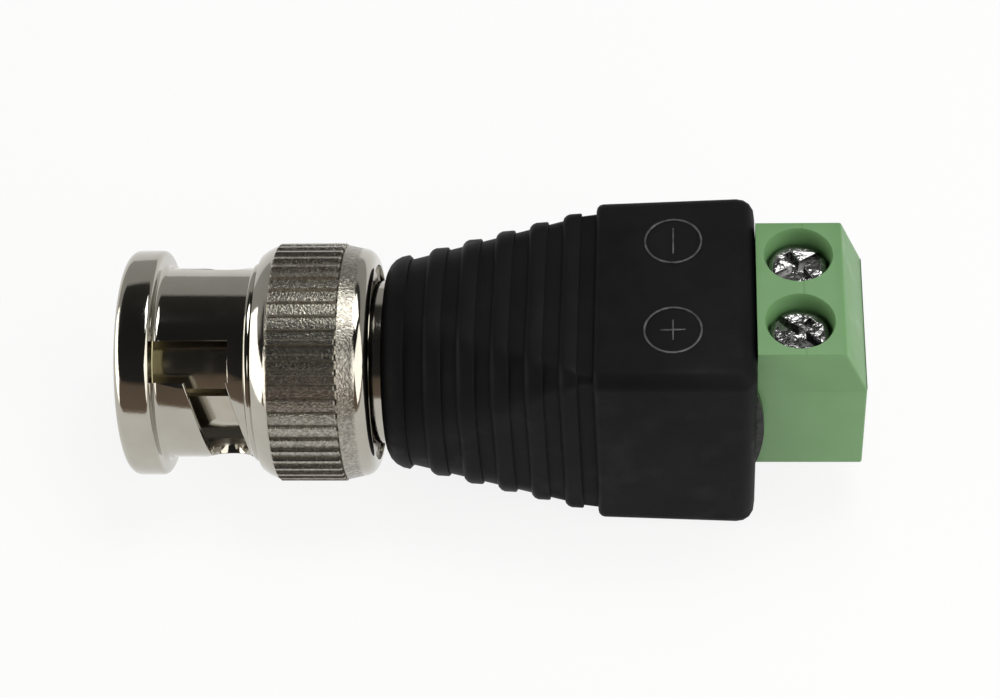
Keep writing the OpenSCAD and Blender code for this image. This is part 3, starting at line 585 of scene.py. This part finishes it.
def model_mark(name, y, arms, finishes):
    """A raised ring with a bar for each arm, moulded on the housing's slightly sloping top."""
    radius, line, bar, height, sunk = 1.74 * MM, 0.13 * MM, 0.11 * MM, 0.07 * MM, 0.03 * MM
    bpy.ops.object.select_all(action="DESELECT")
    bpy.ops.mesh.primitive_circle_add(vertices=72, radius=radius, fill_type="NGON", location=(0, 0, 0))
    mark = named(name)
    bpy.ops.object.mode_set(mode="EDIT")
    bpy.ops.mesh.select_all(action="SELECT")
    bpy.ops.mesh.inset(thickness=line)
    bpy.ops.mesh.delete(type="ONLY_FACE")
    bpy.ops.object.mode_set(mode="OBJECT")
    bpy.ops.mesh.primitive_plane_add(size=bar, location=(0, 0, 0))
    bars = named(name + "_bars")
    bpy.ops.object.mode_set(mode="EDIT")
    grow_arms(bars, bar, arms)
    bpy.ops.object.mode_set(mode="OBJECT")
    join(mark, bars)
    bpy.ops.object.mode_set(mode="EDIT")
    bpy.ops.mesh.select_all(action="SELECT")
    bpy.ops.mesh.extrude_region_move(TRANSFORM_OT_translate={"value": (0, 0, height + sunk)})
    bpy.ops.mesh.select_all(action="SELECT")
    bpy.ops.mesh.normals_make_consistent(inside=False)
    select(mark, "edges", lambda e: middle(e).z * MM > height and edge_fold(e) > 1.0)
    bpy.ops.mesh.bevel(offset=0.025 * MM, segments=2)
    bpy.ops.object.mode_set(mode="OBJECT")
    draft = Matrix.Rotation(-HOUSING_DRAFT, 4, "Y")
    foot = Vector((MARK_X, y, HOUSING_TOP)) * MM - Vector((0, 0, sunk))
    mark.data.transform(Matrix.Translation(foot) @ draft)
    tidy_mesh(mark, 30)
    # the marks' finish carries a painted highlight in lighter patches
    finish_piece(mark, "adapter", "black_moulding", finishes["mark_painted_highlight"])


# Green terminal block

def model_terminal(finishes):
    """The moulded block with softened edges and slightly narrowed screw wells."""
    block = cad_copy("terminal_body", "terminal_moulding")
    bpy.ops.object.mode_set(mode="EDIT")
    bpy.ops.mesh.select_all(action="SELECT")
    bpy.ops.mesh.dissolve_limited(angle_limit=radians(0.5))
    select(block, "edges", lambda e: edge_fold(e) > 0.5 and on_terminal_skin(middle(e)))
    bpy.ops.mesh.bevel(offset=0.13 * MM, segments=3)
    # each well is narrower above the head's seat, and a little more at its rim
    for y in (-POLE_Y, POLE_Y):
        axis = Vector((SCREW_X, y, 0)) * MM
        for z, shrink in ((4.8, 0.945), (6.95, 0.96)):
            select(block, "verts", lambda v: v.co.z > z * MM and (v.co - axis).xy.length < 2.32 * MM)
            bpy.ops.transform.resize(value=(shrink, shrink, 1), center_override=axis)
    bpy.ops.object.mode_set(mode="OBJECT")
    tidy_mesh(block, 32)
    finish_piece(block, "adapter", "green_moulding", finishes["green_moulding"], "terminal_body")


def on_terminal_skin(place):
    """Whether a place lies on the outer corners of the block, clear of the housing."""
    on_side = abs(abs(place.y) - BLOCK_HALF) < 0.1
    on_top = abs(place.z - BLOCK_TOP) < 0.02
    on_bottom = abs(place.z - BLOCK_BOTTOM) < 0.02
    at_end = place.x > 41.5 and (abs(place.x - BLOCK_END) < 0.02 or on_side or on_top)
    wire_port = place.x > 42.8 and abs(place.y) < 4.5 and -3.4 < place.z < 3
    well = place.z > 6.9 and abs(place.y) < 4.9 and place.x < 41.4
    return place.x > 36.5 and (on_side + on_top + on_bottom >= 2 or at_end) and not wire_port and not well


# Clamp screws

def model_drive_recess():
    """The hollow that a slot and a shorter cross leave in a head."""
    side, top, depth = 0.5 * MM, 6.3 * MM, 0.8 * MM
    bpy.ops.object.select_all(action="DESELECT")
    bpy.ops.mesh.primitive_plane_add(size=side, location=(0, 0, top))
    bpy.ops.object.transform_apply(location=True)
    recess = named("drive_recess")
    bpy.ops.object.mode_set(mode="EDIT")
    grow_arms(recess, side, (((1, 0, 0), 1.9), ((-1, 0, 0), 1.9), ((0, 1, 0), 0.95), ((0, -1, 0), 0.95)))
    bpy.ops.mesh.select_all(action="SELECT")
    bpy.ops.mesh.extrude_region_move(TRANSFORM_OT_translate={"value": (0, 0, -depth)})
    bpy.ops.mesh.select_all(action="SELECT")
    bpy.ops.mesh.normals_make_consistent(inside=False)
    bpy.ops.object.mode_set(mode="OBJECT")
    return recess


def add_turned_blank(name, radius, length, height, vertices):
    """A cylinder on the Z axis, with its size and the height of its middle in millimetres."""
    bpy.ops.object.select_all(action="DESELECT")
    bpy.ops.mesh.primitive_cylinder_add(vertices=vertices, radius=radius * MM, depth=length * MM,
                                        location=(0, 0, height * MM))
    bpy.ops.object.transform_apply(location=True)
    return named(name)


def model_screw_head():
    """A flat head with a rounded rim and the recess for the driver."""
    head = add_turned_blank("clamp_screw", HEAD_RADIUS, HEAD_HEIGHT, HEAD_MIDDLE, 64)
    bpy.ops.object.mode_set(mode="EDIT")
    select(head, "edges", lambda e: edge_fold(e) > 1.2 and middle(e).z > 5.9)
    bpy.ops.mesh.bevel(offset=0.32 * MM, segments=5)
    select(head, "edges", lambda e: edge_fold(e) > 1.2 and middle(e).z < 5)
    bpy.ops.mesh.bevel(offset=0.08 * MM, segments=2)
    # a narrow flat ring inside the rounded rim keeps the top's shading flat
    select(head, "faces", lambda f: f.normal.z > 0.99 and f.calc_center_median().z > 5.9 * MM)
    bpy.ops.mesh.inset(thickness=0.05 * MM)
    bpy.ops.object.mode_set(mode="OBJECT")
    recess = model_drive_recess()
    apply(head, "BOOLEAN", "drive", operation="DIFFERENCE", solver="EXACT", object=recess)
    bpy.data.objects.remove(recess)
    only(head)
    bpy.ops.object.mode_set(mode="EDIT")
    bpy.ops.mesh.select_all(action="SELECT")
    bpy.ops.mesh.remove_doubles(threshold=0.001 * MM)
    select(head, "edges", lambda e: edge_fold(e) > 0.9 and middle(e).z > 5.98 and middle(e).xy.length < 1.4)
    bpy.ops.mesh.bevel(offset=0.05 * MM, segments=1, clamp_overlap=True)
    bpy.ops.object.mode_set(mode="OBJECT")
    return head


def model_screw_core():
    """The core of the shank, with its bevelled tip."""
    core = add_turned_blank("screw_core", CORE_RADIUS, CORE_LENGTH, CORE_MIDDLE, 48)
    bpy.ops.object.mode_set(mode="EDIT")
    select(core, "edges", lambda e: edge_fold(e) > 1.2 and middle(e).z < 1.5)
    bpy.ops.mesh.bevel(offset=0.2 * MM, segments=2)
    bpy.ops.object.mode_set(mode="OBJECT")
    return core


def model_screw_thread():
    """A helical thread: a closed profile swept up the shank, its two ends filled."""
    bpy.ops.object.select_all(action="DESELECT")
    bpy.ops.mesh.primitive_plane_add(size=1 * MM, location=(0, 0, 0))
    thread = named("screw_thread")
    profile = ((1.12, -0.22), (1.12, 0.22), (1.44, -0.04), (1.44, 0.04))
    for vert, (r, z) in zip(sorted(thread.data.vertices, key=lambda v: (v.co.x, v.co.y)), profile):
        vert.co = (r * MM, 0, (THREAD_START + z) * MM)
    bpy.ops.object.mode_set(mode="EDIT")
    bpy.ops.mesh.select_all(action="SELECT")
    bpy.ops.mesh.delete(type="ONLY_FACE")
    bpy.ops.object.mode_set(mode="OBJECT")
    apply(thread, "SCREW", "sweep", screw_offset=THREAD_PITCH * MM, iterations=5, steps=40, render_steps=40,
          use_merge_vertices=False)
    bpy.ops.object.mode_set(mode="EDIT")
    for low in (True, False):
        select(thread, "edges", lambda e: len(e.link_faces) == 1 and (middle(e).z < 3) == low)
        bpy.ops.mesh.edge_face_add()
    bpy.ops.mesh.select_all(action="SELECT")
    bpy.ops.mesh.normals_make_consistent(inside=False)
    bpy.ops.object.mode_set(mode="OBJECT")
    return thread


def model_clamp_screw():
    """One clamp screw on the Z axis, made of its head, core and thread."""
    head = model_screw_head()
    core = model_screw_core()
    thread = model_screw_thread()
    join(head, core, thread)
    tidy_mesh(head, 32)
    return head


def place_clamp_screws(finishes):
    """Copies the screw to both poles, each with its own turn."""
    master = model_clamp_screw()
    for pole, y, turn in (("plus", -POLE_Y, 140), ("minus", POLE_Y, 32)):
        screw = bpy.data.objects.new("clamp_screw_" + pole, master.data.copy())
        bpy.context.scene.collection.objects.link(screw)
        place = Matrix.Translation(Vector((SCREW_X, y, 0)) * MM)
        screw.data.transform(place @ Matrix.Rotation(radians(turn), 4, "Z"))
        finish_piece(screw, pole + "_screw", "zinc_plate", finishes["zinc_plate"], "screw_" + pole)
    bpy.data.objects.remove(master)


# Wave washer

def model_wave_spring(finishes):
    """The wave washer, whose rear crests follow the thrust washer, as a smooth-shaded copy in its imported
    shape.
    """
    spring = cad_copy("wave_washer", "wave_spring")
    tidy_mesh(spring, 30)
    spring.data.materials.clear()
    spring.data.materials.append(finishes["spring_steel"])
    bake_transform(spring)
    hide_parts("wave_washer")


# Scene

bpy.context.scene.view_settings.view_transform = "Standard"
add_camera()
add_world()
add_floor()
add_lamp("left_lamp", (-185, -30, 52), (10, 0, 0), (260, 112), 0.3, (1.0, 0.98, 0.94))
add_lamp("right_lamp", (162, -95, 105), (20, 0, 0), (230, 190), 0.32, (1.0, 0.99, 0.96))
add_lamp("top_lamp", (66, 48, 190), (22, 0, 0), (110, 90), 0.2, (1.0, 1.0, 0.98))
build_groups()
finishes = build_finishes()
dress_frame(finishes)
model_sleeve(finishes)
model_housing(finishes)
model_wave_spring(finishes)
model_mark("minus_mark", 3.48, (((0, 1, 0), 0.95), ((0, -1, 0), 0.95)), finishes)
model_mark("plus_mark", -3.33,
           (((0, 1, 0), 0.7), ((0, -1, 0), 0.7), ((1, 0, 0), 0.7), ((-1, 0, 0), 0.7)), finishes)
model_terminal(finishes)
place_clamp_screws(finishes)
